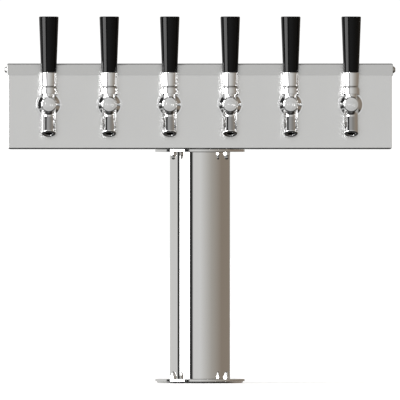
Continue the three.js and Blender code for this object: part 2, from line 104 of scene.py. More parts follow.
NUT_FLATS = 11.1
NUT_HEX_HEIGHT = 5.6
NUT_HEIGHT = 12.8
NUT_WASHER_HEIGHT = 0.25
NUT_FOOT_CHAMFER = 1.1
NUT_TOP_CHAMFER = 0.9
NUT_NECK_FLARE = 0.15
NUT_NECK_HEIGHT = 0.4
NUT_DOME_RADIUS = 4.85
NUT_CROWN_RADIUS = 4.0
NUT_CROWN_START = 0.1  # an angle, above level
NUT_CROWN_STEPS = 14
HEX_EASE = 0.1  # how far a hexagon's ends stay inside its flats, and its outline outside its corners
BOLT_HEAD_HEIGHT = 4.2
BOLT_HEAD_CHAMFER = 0.6
BOLT_HEAD_FLARE = 0.9
BOLT_END_GAP = 0.05  # between a bolt's end and its head, which are separate meshes
LOCK_NUT_FLATS = 29.4
LOCK_NUT_THICKNESS = 6.2
LOCK_NUT_BORE = 11.2
LOCK_NUT_CHAMFER = 1.2
LOCK_NUT_EASE = 0.4

LID_SCREW_HOLE_RADIUS = 2.9
LID_SCREW_HOLE_MARGIN = 5.0
LID_SCREW_RADIUS = 2.5
LID_SCREW_HEAD_HEIGHT = 4.8
LID_SCREW_RIM_DROP = 3.4  # below the top of the head, as the next one is
LID_SCREW_CROWN_DROP = 0.5
LID_SCREW_CROWN_SHARE = 0.62
LID_SCREW_RIM_EDGE = 0.8
LID_SCREW_CROWN_EDGE = 2.5
SOCKET_FLATS = 3.4
SOCKET_DEPTH = 2.6
SOCKET_REACH = 9.0  # any radius outside the socket's hexagon

# On a faucet's forward axis: places are counted forwards from the front face of the head
SHANK_BORE = 4.0
SHANK_END = -74.0
TAIL_RADIUS = 5.3
TAIL_TIP_RADIUS = 4.9
BARB_COUNT = 3
BARB_START = -71.5
BARB_PITCH = 3.5
BARB_DROP = 0.5
BARB_RADIUS = 6.0
THREAD_END = -56.0
THREAD_END_RADIUS = 10.6
THREAD_START = -55.5
THREAD_TURNS = 33
THREAD_PITCH = 1.6
THREAD_RADIUS = 11.1
THREAD_ROOT = 10.55
SHANK_FLANGE_RADIUS = 21.75
SHANK_FLANGE_FRONT = 3.8
SHANK_NOSE_FRONT = 10.0
SHANK_SEAT_RADIUS = 8.0
SHANK_SEAT_BACK = 5.0
COUPLING_BORE = 14.6
COUPLING_BACK = 4.1
COUPLING_RADIUS = 18.75
COUPLING_SHOULDER = 12.3
COUPLING_FRONT = 17.95
COUPLING_TIP_RADIUS = 13.1
COUPLING_TIP_EDGE = 0.4
COUPLING_LIP_RADIUS = 12.4
COUPLING_LIP_BACK = 13.9
PIN_HOLE_COUNT = 4
PIN_HOLE_RADIUS = 2.0
PIN_HOLE_FLOOR = 16.4  # this and the next are distances from the nut's axis
PIN_HOLE_TOP = 24.0
PIN_HOLE_FORWARD = 8.3
NUT_ROOM_GAP = 0.15

SPOUT_ROOT = 26.0
KNOB_RADIUS = 13.0
KNOB_BACK = 22.0
KNOB_FRONT = 55.0
KNOB_CROWN = 55.0
KNOB_EDGE = 2.4
BADGE_RADIUS = 9.6
BADGE_DEPTH = 3.5
BADGE_LIFT = 0.08
BADGE_RIM_DROP = 0.1
BADGE_RIM = 0.2
BADGE_GROOVES = (6.2, 3.1)
GROOVE_TOP = 0.35
GROOVE_FLOOR = 0.15
NECK_BLEND = 1.5
SPOUT_BLEND = 2.0
BARREL_BLEND = 2.0
THROAT_TOP = (0, -43.2, -8.0)
THROAT_FOOT = (0, -37.5, -18.5)
THROAT_RADIUS = 8.9
THROAT_BLEND = 2.0
BARREL_RADIUS = 12.0
BARREL_FRONT = 30.0
NOSE_RADIUS = 14.2
NOSE_BACK = 10.3
NOSE_FRONT = 13.6
CHAMBER_RADIUS = 7.0
CHAMBER_BACK = 23.6
CHAMBER_FRONT = 46.0
SEAT_RADIUS = 4.4
INLET_RADIUS = 8.0
INLET_FRONT = 20.1
TRIM_MARGIN = 5.0  # how far a shape runs past the surface that trims it
BODY_STEP = 0.5  # spacing of the faucet body's mesh
BODY_LOW = (-16.0, -66.0, -60.0)
BODY_HIGH = (16.0, -8.0, 19.0)
SLOPE_STEP = 1e-3
SETTLE_ROUNDS = 6
LEAST_SLOPE = 0.25  # of the slope's square, so that a flat spot can't throw a point far

# On the spout's axis: places are counted from the spout's root, and the last two back from its end
SPOUT_LEAN = math.radians(25)
SPOUT_RADIUS = 12.0
SPOUT_LENGTH = 54.7
SPOUT_LIP = 1.8
SPOUT_BORE = 6.35
SPOUT_BORE_START = 4.0
SPOUT_MOUTH = 1.2
# the near-black sleeve that paints the shade inside the spout's bore
SHADE_SLEEVE_START = 11.0
SHADE_SLEEVE_SKIN = 0.12
SHADE_SLEEVE_DEPTH = 0.2
SHADE_SLEEVE_END = 2.0
SHADE_SLEEVE_LIP = 1.0

# On the bonnet's and the lever's axes: heights are counted from the pivot
BONNET_LEAN = math.radians(5)
NECK_RADIUS = 9.9
NECK_TOP = -5.5
NECK_BOTTOM = -16.0
BALL_RADIUS = 8.0
BALL_STEPS = 24
SOCKET_RADIUS = 8.8
SOCKET_STEPS = 12
SOCKET_END = -0.068  # an angle, where the socket runs out into the bonnet's bore
BONNET_BORE = 10.2
BONNET_BORE_TOP = -0.6
COLLAR_RADIUS = 14.7
COLLAR_BOTTOM = -6.9
COLLAR_TOP = 4.7
COLLAR_SWEEP = 14.82  # the collar's top stays inside this distance from the pivot, under the ferrule
COLLAR_GROOVE = 0.3
DOME_RADIUS = 14.55
DOME_STEPS = 14
CUP_RADIUS = 15.0
CUP_STEPS = 10
FERRULE_MOUTH = 12.75
FERRULE_RIM_RADIUS = 12.95
FERRULE_RIM_EDGE = 0.15
FERRULE_TOP_RADIUS = 14.2
FERRULE_TOP = 30.3
FERRULE_SEAT_RADIUS = 11.0
STUD_RADIUS = 4.7
STUD_SHOULDER = 47.2
STUD_TIP_RADIUS = 3.9
STUD_TOP = 48.0
STEM_RADIUS = 4.0
STEM_ROOM_GAP = 0.4
STEM_ROOM_FLOOR = 0.5
STEM_ROOM_TOP = 24.0
STEM_ROOM_STEPS = 12
FINGER_RADIUS = 1.9
FINGER_TIP_RADIUS = 2.2
FINGER_LENGTH = 19.5
FINGER_CLEARANCE = 0.7
FINGER_STOPS = 4  # steps of the throw at which the finger's room is cut
HANDLE_FOOT_RADIUS = 12.95
HANDLE_FOOT_EDGE = 0.8
HANDLE_TOP_EDGE = 1.7
HANDLE_HOLE_RADIUS = 5.2
HANDLE_HOLE_TOP = 52.0
BUSH_BORE = 4.95
BUSH_RADIUS = 5.15
BUSH_SINK = 0.1
BUSH_TOP = 50.0

# On the valve shaft, again counted forwards from the front face of the head
VALVE_BACK = 16.2
VALVE_BACK_RADIUS = 5.4
SEAL_RADIUS = 6.0
SEAL_BACK = 16.9
SEAL_FRONT = 19.0
SEAL_EDGE = 0.4
VALVE_CONE_FRONT = 19.6
VALVE_CONE_RADIUS = 5.2
VALVE_ROD_RADIUS = 3.0
BLOCK_RADIUS = 6.2
BLOCK_BACK = 33.5
BLOCK_FRONT = 42.5
SLOT_SIZE = (16.0, 5.4, 12.0)
SLOT_FLOOR = 1.0  # above the shaft's axis

# ---------------------------------------------------------------- studio values, in metres and degrees

CAMERA_DISTANCE = 28.0
CAMERA_HEIGHT = 0.3084
FRAMED_WIDTH = 0.6728

# The room that the metal reflects: pale walls with a warm, dark side to the right. A direction
# is an azimuth, zero behind the camera and positive to the right, and an elevation.
PALE_WALL = (0.64, 0.64, 0.635)
FRONT_WALL = (0.60, 0.60, 0.59)
SHADED_WALL = (0.38, 0.36, 0.33)
WARM_WALL = (0.25, 0.21, 0.17)
ROOM_WALLS = [
    (-180, FRONT_WALL), (-60, PALE_WALL), (0, PALE_WALL), (45, SHADED_WALL), (90, WARM_WALL),
    (150, WARM_WALL), (180, FRONT_WALL)]
ROOM_SHADE = [(-90, 0.04), (-34, 0.1), (-26, 0.8), (-10, 1.0), (30, 1.0), (48, 0.5), (90, 0.35)]
LAMP = {"left": -84, "right": -40, "bottom": -11, "top": 33}
LAMP_SOFTNESS = 3.0
LAMP_BRIGHTNESS = 8.0
LAMP_FRAME = 14.0
FRAME_SOFTNESS = 4.0
FRAME_SHADE = 0.03
BACKDROP_BRIGHTNESS = 1.05
FLOOR_REACH = 60.0
FLOOR_DROP = 0.0002
FLOOR_GLOW = 0.5
SUN_STRENGTH = 0.6
SUN_SIZE = math.radians(60)

GRAIN_DEPTH = 0.0001
CLOUD_SCALE = 9.0
MARK_SCALE = 38.0
MARK_SHARE = 0.25  # how much of the roughness range the handling marks add
SHEET_GRAIN = (14, 1500, 1500)  # lines for each metre along X, Y and Z


def hinge(number):
    """The record's joint for a faucet's lever."""
    return next(j for j in frame["joints"] if j["name"] == f"lever_hinge_{number}")


def box_mm(node):
    low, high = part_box(node)
    return low / MM, high / MM


HEAD_LOW, HEAD_HIGH = box_mm("head_box")
COLUMN_LOW, COLUMN_HIGH = box_mm("column_tube")
COLUMN_Y = (COLUMN_LOW.y + COLUMN_HIGH.y) / 2
COLUMN_RADIUS = (COLUMN_HIGH.x - COLUMN_LOW.x) / 2
SHANK_LOW, SHANK_HIGH = box_mm("shank_1")
FAUCET_HEIGHT = (SHANK_LOW.z + SHANK_HIGH.z) / 2
PIVOT = Vector(hinge(1)["pos_m"]) / MM
PIVOT_FORWARD = HEAD_LOW.y - PIVOT.y
PIVOT_UP = PIVOT.z - FAUCET_HEIGHT
THROW = math.radians(hinge(1)["range_deg"][1])

# Matrices that take a shape turned about +Z to its place
FORWARD = Matrix.Rotation(math.pi / 2, 4, "X")
TO_PIVOT = Matrix.Translation((0, -PIVOT_FORWARD, PIVOT_UP))
TO_BONNET = TO_PIVOT @ Matrix.Rotation(-BONNET_LEAN, 4, "X")
TO_SPOUT = Matrix.Translation((0, -SPOUT_ROOT, 0)) @ Matrix.Rotation(math.pi - SPOUT_LEAN, 4, "X")


def faucet_place(number):
    low, high = box_mm(f"shank_{number}")
    return Matrix.Translation(((low.x + high.x) / 2, HEAD_LOW.y, FAUCET_HEIGHT))


def bolt_places():
    for i in range(BOLT_COUNT):
        angle = math.pi / 4 + i * math.pi / 2
        yield (BOLT_CIRCLE_RADIUS * math.cos(angle), COLUMN_Y + BOLT_CIRCLE_RADIUS * math.sin(angle))


# ---------------------------------------------------------------- node helpers for materials


class Shader:
    """A node tree with short calls for adding and linking nodes."""

    def __init__(self, tree):
        self.nodes = tree.nodes
        self.links = tree.links
        self.nodes.clear()

    def add(self, kind, inputs=None, **settings):
        node = self.nodes.new(kind)
        for name, value in settings.items():
            setattr(node, name, value)
        for name, value in (inputs or {}).items():
            self.set(node.inputs[name], value)
        return node

    def set(self, socket, value):
        if isinstance(value, bpy.types.NodeSocket):
            self.links.new(value, socket)
        else:
            socket.default_value = value

    def math(self, operation, a, b=0.0):
        node = self.add("ShaderNodeMath", operation=operation)
        self.set(node.inputs[0], a)
        self.set(node.inputs[1], b)
        return node.outputs[0]

    def ramp(self, factor, stops):
        """A colour ramp. stops are (position, grey or colour)."""
        node = self.add("ShaderNodeValToRGB", {"Fac": factor})
        elements = node.color_ramp.elements
        while len(elements) < len(stops):
            elements.new(0.5)
        for element, (position, value) in zip(elements, stops):
            element.position = position
            element.color = (*value, 1.0) if isinstance(value, tuple) else (value, value, value, 1.0)
        return node.outputs["Color"]

    def between(self, factor, low, high):
        node = self.add("ShaderNodeMapRange", {"Value": factor, "To Min": low, "To Max": high})
        return node.outputs["Result"]

    def noise(self, scale, stretch=(1, 1, 1), detail=4.0, roughness=0.55):
        place = self.add("ShaderNodeTexCoord").outputs["Object"]
        mapping = self.add("ShaderNodeMapping", {"Vector": place, "Scale": stretch})
        node = self.add("ShaderNodeTexNoise", {
            "Vector": mapping.outputs["Vector"], "Scale": scale, "Detail": detail, "Roughness": roughness})
        return node.outputs["Fac"]

    def mixed(self, factor, a, b):
        node = self.add("ShaderNodeMix", data_type="RGBA")
        self.set(node.inputs[0], factor)
        self.set(node.inputs[6], a)
        self.set(node.inputs[7], b)
        return node.outputs[2]

    def bump(self, height, strength, distance):
        node = self.add("ShaderNodeBump", {"Height": height, "Strength": strength, "Distance": distance})
        return node.outputs["Normal"]


def new_material(name):
    material = bpy.data.materials.new(name)
    material.use_nodes = True
    return material, Shader(material.node_tree)


def finish_material(shader, **inputs):
    principled = shader.add("ShaderNodeBsdfPrincipled", {k.replace("_", " "): v for k, v in inputs.items()})
    output = shader.add("ShaderNodeOutputMaterial")
    shader.links.new(principled.outputs["BSDF"], output.inputs["Surface"])


def steel(name, light, dark, smooth, rough, grain, grain_bump):
    """Bare steel: fine grain along one direction, cloudy tone and faint handling marks."""
    material, shader = new_material(name)
    lines = shader.noise(1.0, grain, detail=6.0, roughness=0.7)
    clouds = shader.noise(CLOUD_SCALE, detail=3.0)
    marks = shader.ramp(shader.noise(MARK_SCALE, detail=5.0, roughness=0.62), [(0.52, 0.0), (0.72, 1.0)])
    tone = shader.mixed(clouds, (*dark, 1), (*light, 1))
    base = shader.between(lines, smooth, rough)
    roughness = shader.math("ADD", base, shader.math("MULTIPLY", marks, MARK_SHARE * (rough - smooth)))
    finish_material(shader, Base_Color=tone, Metallic=1.0, Roughness=roughness,
                    Normal=shader.bump(lines, grain_bump, GRAIN_DEPTH))
    return material


def satin_material():
    """Satin sheet steel, brushed along the box."""
    return steel("satin_steel", light=(0.90, 0.90, 0.895), dark=(0.875, 0.875, 0.87),
                 smooth=0.19, rough=0.25, grain=SHEET_GRAIN, grain_bump=0.25)


def lid_material():
    """The lid's sheet, from the same stock but a shade darker."""
    return steel("satin_steel_lid", light=(0.78, 0.78, 0.775), dark=(0.755, 0.755, 0.75),
                 smooth=0.19, rough=0.25, grain=SHEET_GRAIN, grain_bump=0.25)


def polished_material():
    """Mirror-polished tube and plate, with the faint rings that the polishing left."""
    return steel("polished_steel", light=(0.90, 0.897, 0.888), dark=(0.88, 0.877, 0.868),
                 smooth=0.02, rough=0.045, grain=(60, 60, 900), grain_bump=0.02)


def fastener_material():
    return steel("fastener_steel", light=(0.86, 0.855, 0.845), dark=(0.80, 0.795, 0.785),
                 smooth=0.06, rough=0.14, grain=(500, 500, 900), grain_bump=0.03)


def screw_material():
    """The lid's screws, dulled by a coarser brushing."""
    return steel("brushed_screw", light=(0.70, 0.695, 0.685), dark=(0.60, 0.595, 0.585),
                 smooth=0.30, rough=0.42, grain=(700, 500, 500), grain_bump=0.1)


def chrome_material():
    """Chrome plate over cast brass: bright, with a trace of the casting's waviness."""
    return steel("chrome_plate", light=(0.93, 0.932, 0.935), dark=(0.905, 0.907, 0.91),
                 smooth=0.018, rough=0.05, grain=(220, 220, 220), grain_bump=0.015)


def frosted_material():
    """The same plate blasted to a soft satin."""
    return steel("frosted_chrome", light=(0.90, 0.902, 0.905), dark=(0.86, 0.862, 0.865),
                 smooth=0.20, rough=0.28, grain=(700, 700, 700), grain_bump=0.06)


def bore_shade_material():
    """Near-black, rough metal: painted shade for the inside of the spout's bore."""
    return steel("painted_bore_shade", light=(0.035, 0.033, 0.03), dark=(0.02, 0.019, 0.018),
                 smooth=0.45, rough=0.6, grain=(300, 300, 900), grain_bump=0.1)


def machined_material():
    return steel("machined_steel", light=(0.66, 0.655, 0.64), dark=(0.58, 0.575, 0.56),
                 smooth=0.2, rough=0.34, grain=(90, 2200, 90), grain_bump=0.2)


def plastic_material():
    """Glossy black moulded plastic with very fine handling scratches."""
    material, shader = new_material("black_plastic")
    scratches = shader.noise(1.0, (900, 900, 40), detail=5.0, roughness=0.7)
    cloud = shader.noise(60.0, detail=4.0)
    tone = shader.mixed(cloud, (0.0008, 0.0008, 0.0009, 1), (0.0018, 0.0018, 0.002, 1))
    roughness = shader.between(shader.math("MULTIPLY", scratches, cloud), 0.05, 0.15)
    finish_material(shader, Base_Color=tone, Roughness=roughness, Specular_IOR_Level=0.19,
                    Normal=shader.bump(scratches, 0.02, GRAIN_DEPTH))
    return material


MATERIALS = {
    "satin": (satin_material(), "satin_steel"),
    "lid": (lid_material(), "satin_steel"),
    "polished": (polished_material(), "polished_steel"),
    "fastener": (fastener_material(), "fastener_steel"),
    "screw": (screw_material(), "fastener_steel"),
    "chrome": (chrome_material(), "chrome"),
    "frosted": (frosted_material(), "chrome"),
    "machined": (machined_material(), "valve_steel"),
    # painted shade: a near-black material for the inside of the spout's bore
    "bore_shade": (bore_shade_material(), "valve_steel"),
    "plastic": (plastic_material(), "black_plastic"),
}

# ---------------------------------------------------------------- mesh helpers


def rounded(corners, steps=EDGE_STEPS):
    """An open outline whose corners (x, y, radius) become arcs. A corner may leave the radius out."""
    points = []
    for i, corner in enumerate(corners):
        here = np.array(corner[:2], float)
        radius = corner[2] if len(corner) > 2 else 0.0
        if radius <= 0 or i in (0, len(corners) - 1):
            points.append(tuple(here))
            continue
        back = np.array(corners[i - 1][:2], float) - here
        ahead = np.array(corners[i + 1][:2], float) - here
        room = min(np.linalg.norm(back), np.linalg.norm(ahead)) * HALF_EDGE
        back /= np.linalg.norm(back)
        ahead /= np.linalg.norm(ahead)
        half = math.acos(max(-1.0, min(1.0, float(back @ ahead)))) / 2
        tangent = min(radius / math.tan(half), room)
        centre = here + (back + ahead) / np.linalg.norm(back + ahead) * tangent / math.cos(half)
        start, end = here + back * tangent - centre, here + ahead * tangent - centre
        turn = math.atan2(start[0] * end[1] - start[1] * end[0], float(start @ end))
        for step in range(steps + 1):
            a = turn * step / steps
            points.append((
                float(centre[0] + start[0] * math.cos(a) - start[1] * math.sin(a)),
                float(centre[1] + start[0] * math.sin(a) + start[1] * math.cos(a))))
    return points


def arc(radius, height, start, end, steps):
    """Points (radius, height) on an arc about [0, height]. Angles are measured up from the radius."""
    angles = [start + (end - start) * i / steps for i in range(steps + 1)]
    return [(radius * math.cos(a), height + radius * math.sin(a)) for a in angles]


def clean_mesh(name, build):
    """A mesh made by build(bmesh), in metres, closed and with its faces outwards."""
    work = bmesh.new()
    build(work)
    bmesh.ops.remove_doubles(work, verts=work.verts, dist=MERGE_DISTANCE)
    bmesh.ops.recalc_face_normals(work, faces=work.faces)
    mesh = bpy.data.meshes.new(name)
    work.to_mesh(mesh)
    work.free()
    return mesh


def hex_radius(flats, angle):
    """How far a hexagon's edge is from its centre in a direction."""
    sector = (angle + math.pi / 6) % (math.pi / 3) - math.pi / 6
    return flats / 2 / math.cos(sector)


def turned(name, outline, sides=PART_SIDES, place=Matrix.Identity(4), flats=None):
    """A solid turned about +Z from (radius, height) points. A ring's outline ends where it starts.

    With flats, the radius is also held inside a hexagon of that size over its flats.
    """
    angles = [2 * math.pi * i / sides for i in range(sides)]
    to_metres = Matrix.Scale(MM, 4) @ place

    def point(radius, angle, height):
        reach = min(radius, hex_radius(flats, angle)) if flats else radius
        return to_metres @ Vector((reach * math.cos(angle), reach * math.sin(angle), height))

    def build(work):
        rows = []
        for radius, height in outline:
            around = angles if radius > ON_AXIS else [0.0]
            rows.append([work.verts.new(point(radius, a, height)) for a in around])
        for lower, upper in zip(rows, rows[1:]):
            for i in range(sides):
                ring = [lower[i % len(lower)], lower[(i + 1) % len(lower)],
                        upper[(i + 1) % len(upper)], upper[i % len(upper)]]
                corners = list(dict.fromkeys(ring))
                if len(corners) > 2:
                    work.faces.new(corners)

    return clean_mesh(name, build)


def hexagonal(name, flats, outline, place=Matrix.Identity(4)):
    return turned(name, outline, PART_SIDES, place, flats)


def rod(name, radius, low, high, sides=SMALL_SIDES, place=Matrix.Identity(4)):
    return turned(name, [(0, low), (radius, low), (radius, high), (0, high)], sides, place)


def evaluated(piece):
    """A new mesh with the piece's modifiers applied."""
    bpy.context.view_layer.update()
    return bpy.data.meshes.new_from_object(piece.evaluated_get(bpy.context.evaluated_depsgraph_get()))


def shown(name, mesh):
    piece = bpy.data.objects.new(name, mesh)
    bpy.context.scene.collection.objects.link(piece)
    return piece


def carved(mesh, cutters):
    """The mesh with each cutter mesh taken out of it."""
    piece = shown("carving", mesh)
    for cutter_mesh in cutters:
        cutter = shown("cutter", cutter_mesh)
        modifier = piece.modifiers.new("cut", "BOOLEAN")
        modifier.operation = "DIFFERENCE"
        modifier.solver = "EXACT"
        modifier.object = cutter
        result = evaluated(piece)
        piece.modifiers.clear()
        piece.data = result
        bpy.data.objects.remove(cutter)
    result = piece.data
    bpy.data.objects.remove(piece)
    return result


def add_piece(name, mesh, look, body, replaced=(), place=None):
    """Puts a mesh in the scene as a piece that rides on a CAD body and stands for CAD nodes."""
    material, slot = MATERIALS[look]
    if not mesh.materials:
        mesh.materials.append(material)
        mesh.shade_smooth()
        mesh.set_sharp_from_angle(angle=SHARP_ANGLE)
    piece = shown(name, mesh)
    if place is not None:
        piece.location = place.to_translation() * MM
    if not mesh.has_custom_normals:
        weighted = piece.modifiers.new("weighted_normals", "WEIGHTED_NORMAL")
        weighted.keep_sharp = True
        weighted.weight = NORMAL_WEIGHT
    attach(piece, body)
    if replaced:
        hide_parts(*replaced)
    return piece


# ---------------------------------------------------------------- a smooth casting from a distance field


def smooth_min(a, b, blend):
    mix = np.clip(0.5 + 0.5 * (b - a) / blend, 0, 1)
    return b + (a - b) * mix - blend * mix * (1 - mix)


def smooth_max(a, b, blend):
    return -smooth_min(-a, -b, blend)


def cylinder_field(points, axis, low, high, radius, edge=0.0):
    """Signed distance to a cylinder along axis (origin, direction), with rounded edges."""
    origin, direction = np.array(axis[0]), np.array(axis[1])
    along = (points - origin) @ direction
    across = np.linalg.norm(points - origin - along[:, None] * direction, axis=1)
    ends = np.abs(along - (low + high) / 2) - (high - low) / 2
    out = np.stack([across - radius + edge, ends + edge], axis=1)
    return np.linalg.norm(np.maximum(out, 0), axis=1) + np.minimum(out.max(axis=1), 0) - edge


def capsule_field(points, start, end, radius):
    start, end = np.array(start), np.array(end)
    line = end - start
    t = np.clip(((points - start) @ line) / (line @ line), 0, 1)
    return np.linalg.norm(points - start - t[:, None] * line, axis=1) - radius


FORWARD_AXIS = ((0, 0, 0), (0, -1, 0))
SPOUT_AXIS = ((0, -SPOUT_ROOT, 0), (0, -math.sin(SPOUT_LEAN), -math.cos(SPOUT_LEAN)))
NECK_AXIS = ((0, -PIVOT_FORWARD, PIVOT_UP), (0, math.sin(BONNET_LEAN), math.cos(BONNET_LEAN)))


def across_forward(points):
    """Distance from the faucet's forward axis."""
    return np.hypot(points[:, 0], points[:, 2])


def faucet_body_field(p):
    """Signed distance to a faucet's body, in the faucet's own frame, in millimetres."""
    crown = np.linalg.norm(p - np.array((0, -(KNOB_FRONT - KNOB_CROWN), 0)), axis=1) - KNOB_CROWN
    knob = cylinder_field(p, FORWARD_AXIS, KNOB_BACK, KNOB_FRONT + TRIM_MARGIN, KNOB_RADIUS)
    knob = smooth_max(knob, crown, KNOB_EDGE)
    barrel = cylinder_field(p, FORWARD_AXIS, NOSE_BACK, BARREL_FRONT, BARREL_RADIUS)
    nose = cylinder_field(p, FORWARD_AXIS, NOSE_BACK, NOSE_FRONT, NOSE_RADIUS)
    spout = cylinder_field(p, SPOUT_AXIS, 0, SPOUT_LENGTH, SPOUT_RADIUS, SPOUT_LIP)
    neck = cylinder_field(p, NECK_AXIS, NECK_BOTTOM, NECK_TOP, NECK_RADIUS)
    body = smooth_min(knob, barrel, BARREL_BLEND)
    body = smooth_min(body, spout, SPOUT_BLEND)
    body = smooth_min(body, capsule_field(p, THROAT_TOP, THROAT_FOOT, THROAT_RADIUS), THROAT_BLEND)
    body = smooth_min(body, neck, NECK_BLEND)
    body = np.minimum(body, nose)

    mouth = cylinder_field(p, SPOUT_AXIS, SPOUT_BORE_START, SPOUT_LENGTH + TRIM_MARGIN, SPOUT_BORE)
    body = smooth_max(body, -mouth, SPOUT_MOUTH)
    passages = [
        cylinder_field(p, FORWARD_AXIS, 0, INLET_FRONT, INLET_RADIUS),
        cylinder_field(p, FORWARD_AXIS, 0, CHAMBER_FRONT, SEAT_RADIUS),
        cylinder_field(p, FORWARD_AXIS, CHAMBER_BACK, CHAMBER_FRONT, CHAMBER_RADIUS),
    ]
    pivot = np.array(NECK_AXIS[0])
    passages.append(np.linalg.norm(p - pivot, axis=1) - SOCKET_RADIUS)
    nut_room = cylinder_field(p, FORWARD_AXIS, NOSE_FRONT, COUPLING_FRONT + FIT_GAP, COUPLING_RADIUS)
    passages.append(np.maximum(nut_room, BARREL_RADIUS + NUT_ROOM_GAP - across_forward(p)))
    for step in range(FINGER_STOPS + 1):
        angle = THROW * step / FINGER_STOPS
        swung = np.array((0, math.sin(angle), -math.cos(angle)))
        tip = pivot + FINGER_LENGTH * swung
        passages.append(capsule_field(p, pivot, tip, FINGER_TIP_RADIUS + FINGER_CLEARANCE))
    for passage in passages:
        body = np.maximum(body, -passage)
    return body


def slope_of(field, points):
    steps = SLOPE_STEP * np.eye(3)
    return np.stack([field(points + d) - field(points - d) for d in steps], axis=1) / (2 * SLOPE_STEP)


def surface_of(field, low, high, step):
    """Quads on the zero level of a distance field, with each point settled onto the surface."""
    counts = [int(math.ceil((b - a) / step)) + 1 for a, b in zip(low, high)]
    axes = [low[k] + step * np.arange(counts[k]) for k in range(3)]
    grid = np.stack(np.meshgrid(*axes, indexing="ij"), axis=-1).reshape(-1, 3)
    values = field(grid).reshape(counts)
    cells = [n - 1 for n in counts]
    total = np.zeros((*cells, 3))
    hits = np.zeros(cells)
    edges = []
    for axis in range(3):
        others = [k for k in range(3) if k != axis]
        first = values[tuple(slice(None, -1) if k == axis else slice(1, -1) for k in range(3))]
        second = values[tuple(slice(1, None) if k == axis else slice(1, -1) for k in range(3))]
        crossed = np.argwhere((first < 0) != (second < 0))
        a = first[tuple(crossed.T)]
        b = second[tuple(crossed.T)]
        corner = crossed.copy()
        corner[:, others] += 1
        where = corner.astype(float)
        where[:, axis] += a / (a - b)
        around = []
        for du, dv in ((-1, -1), (0, -1), (0, 0), (-1, 0)):
            cell = corner.copy()
            cell[:, others[0]] += du
            cell[:, others[1]] += dv
            np.add.at(total, tuple(cell.T), where)
            np.add.at(hits, tuple(cell.T), 1)
            around.append(cell)
        edges.append((around, (a < 0) == (axis != 1)))
    used = np.argwhere(hits > 0)
    index = -np.ones(cells, int)
    index[tuple(used.T)] = np.arange(len(used))
    points = np.array(low) + step * total[tuple(used.T)] / hits[tuple(used.T)][:, None]
    for _ in range(SETTLE_ROUNDS):
        slope = slope_of(field, points)
        points = points - slope * (field(points) / np.maximum((slope ** 2).sum(axis=1), LEAST_SLOPE))[:, None]
    faces = []
    for around, forward in edges:
        quads = np.stack([index[tuple(cell.T)] for cell in around], axis=1)
        quads[~forward] = quads[~forward][:, ::-1]
        faces.append(quads)
    return points, np.concatenate(faces)


def faucet_body_mesh():
    points, faces = surface_of(faucet_body_field, BODY_LOW, BODY_HIGH, BODY_STEP)
    slope = slope_of(faucet_body_field, points)
    normals = slope / np.linalg.norm(slope, axis=1)[:, None]
    mesh = bpy.data.meshes.new("faucet_body")
    mesh.from_pydata((points * MM).tolist(), [], faces.tolist())
    mesh.materials.append(MATERIALS["chrome"][0])
    mesh.shade_smooth()
    mesh.normals_split_custom_set_from_vertices(normals.tolist())
    return mesh


# ---------------------------------------------------------------- foot, column and head


def plate(name, node, bore, rims, undercut=0.0):
    """A round plate with a bore, bolt holes and eased rims."""
    low, high = box_mm(node)
    radius = (high.x - low.x) / 2
    outline = rounded([
        (bore, low.z), (radius - undercut, low.z, rims[0]), (radius, high.z, rims[1]), (bore, high.z)])
    mesh = turned(name, [*outline, outline[0]], FINE_SIDES, Matrix.Translation((0, COLUMN_Y, 0)))
    bottom, top = low.z - CUT_MARGIN, high.z + CUT_MARGIN
    holes = [
        rod("hole", BOLT_HOLE_RADIUS, bottom, top, SMALL_SIDES, Matrix.Translation((x, y, 0)))
        for x, y in bolt_places()]
    add_piece(name, carved(mesh, holes), "polished", ROOT, [node])


def column():
    inner = COLUMN_RADIUS - COLUMN_WALL
    outline = rounded([
        (inner, COLUMN_LOW.z), (COLUMN_RADIUS, COLUMN_LOW.z, COLUMN_RIM),
        (COLUMN_RADIUS, COLUMN_HIGH.z, COLUMN_RIM), (inner, COLUMN_HIGH.z)])
    mesh = turned("column", [*outline, outline[0]], COLUMN_SIDES, Matrix.Translation((0, COLUMN_Y, 0)))
    add_piece("column", mesh, "polished", ROOT, ["column_tube"])


def weld_bead(name, height, side):
    """The narrow polished weld where the tube meets a flange. side is 1 above the flange and -1 below it."""
    foot = height - side * WELD_IN_FLANGE
    outline = [(COLUMN_RADIUS - WELD_IN_COLUMN, foot), (COLUMN_RADIUS + WELD_RADIUS, foot)]
    for i in range(WELD_STEPS + 1):
        angle = math.pi / 2 * i / WELD_STEPS
        outline.append((
            COLUMN_RADIUS + WELD_RADIUS * (1 - math.sin(angle)),
            height + side * WELD_RADIUS * (1 - math.cos(angle))))
    outline.append((COLUMN_RADIUS - WELD_IN_COLUMN, height + side * WELD_RADIUS))
    mesh = turned(name, [*outline, outline[0]], FINE_SIDES, Matrix.Translation((0, COLUMN_Y, 0)))
    add_piece(name, mesh, "polished", ROOT)


def acorn_nut_mesh(rod_length):
    """A high-crown acorn nut on z = 0 with the threaded rod below it, and a washer face."""
    flat = NUT_FLATS / 2
    corner = flat / math.cos(math.pi / 6) + HEX_EASE
    crown = arc(NUT_CROWN_RADIUS, NUT_HEIGHT - NUT_CROWN_RADIUS, NUT_CROWN_START, math.pi / 2, NUT_CROWN_STEPS)
    outline = [
        (0, -rod_length), (BOLT_RADIUS, -rod_length), (BOLT_RADIUS, 0),
        (flat - 2 * HEX_EASE, 0), (flat - HEX_EASE, NUT_WASHER_HEIGHT), (corner, NUT_FOOT_CHAMFER),
        (corner, NUT_HEX_HEIGHT - NUT_TOP_CHAMFER), (flat - HEX_EASE, NUT_HEX_HEIGHT),
        (NUT_DOME_RADIUS + NUT_NECK_FLARE, NUT_HEX_HEIGHT + HEX_EASE),
        (NUT_DOME_RADIUS, NUT_HEX_HEIGHT + NUT_NECK_HEIGHT), *crown]
    return hexagonal("acorn_nut", NUT_FLATS, outline)


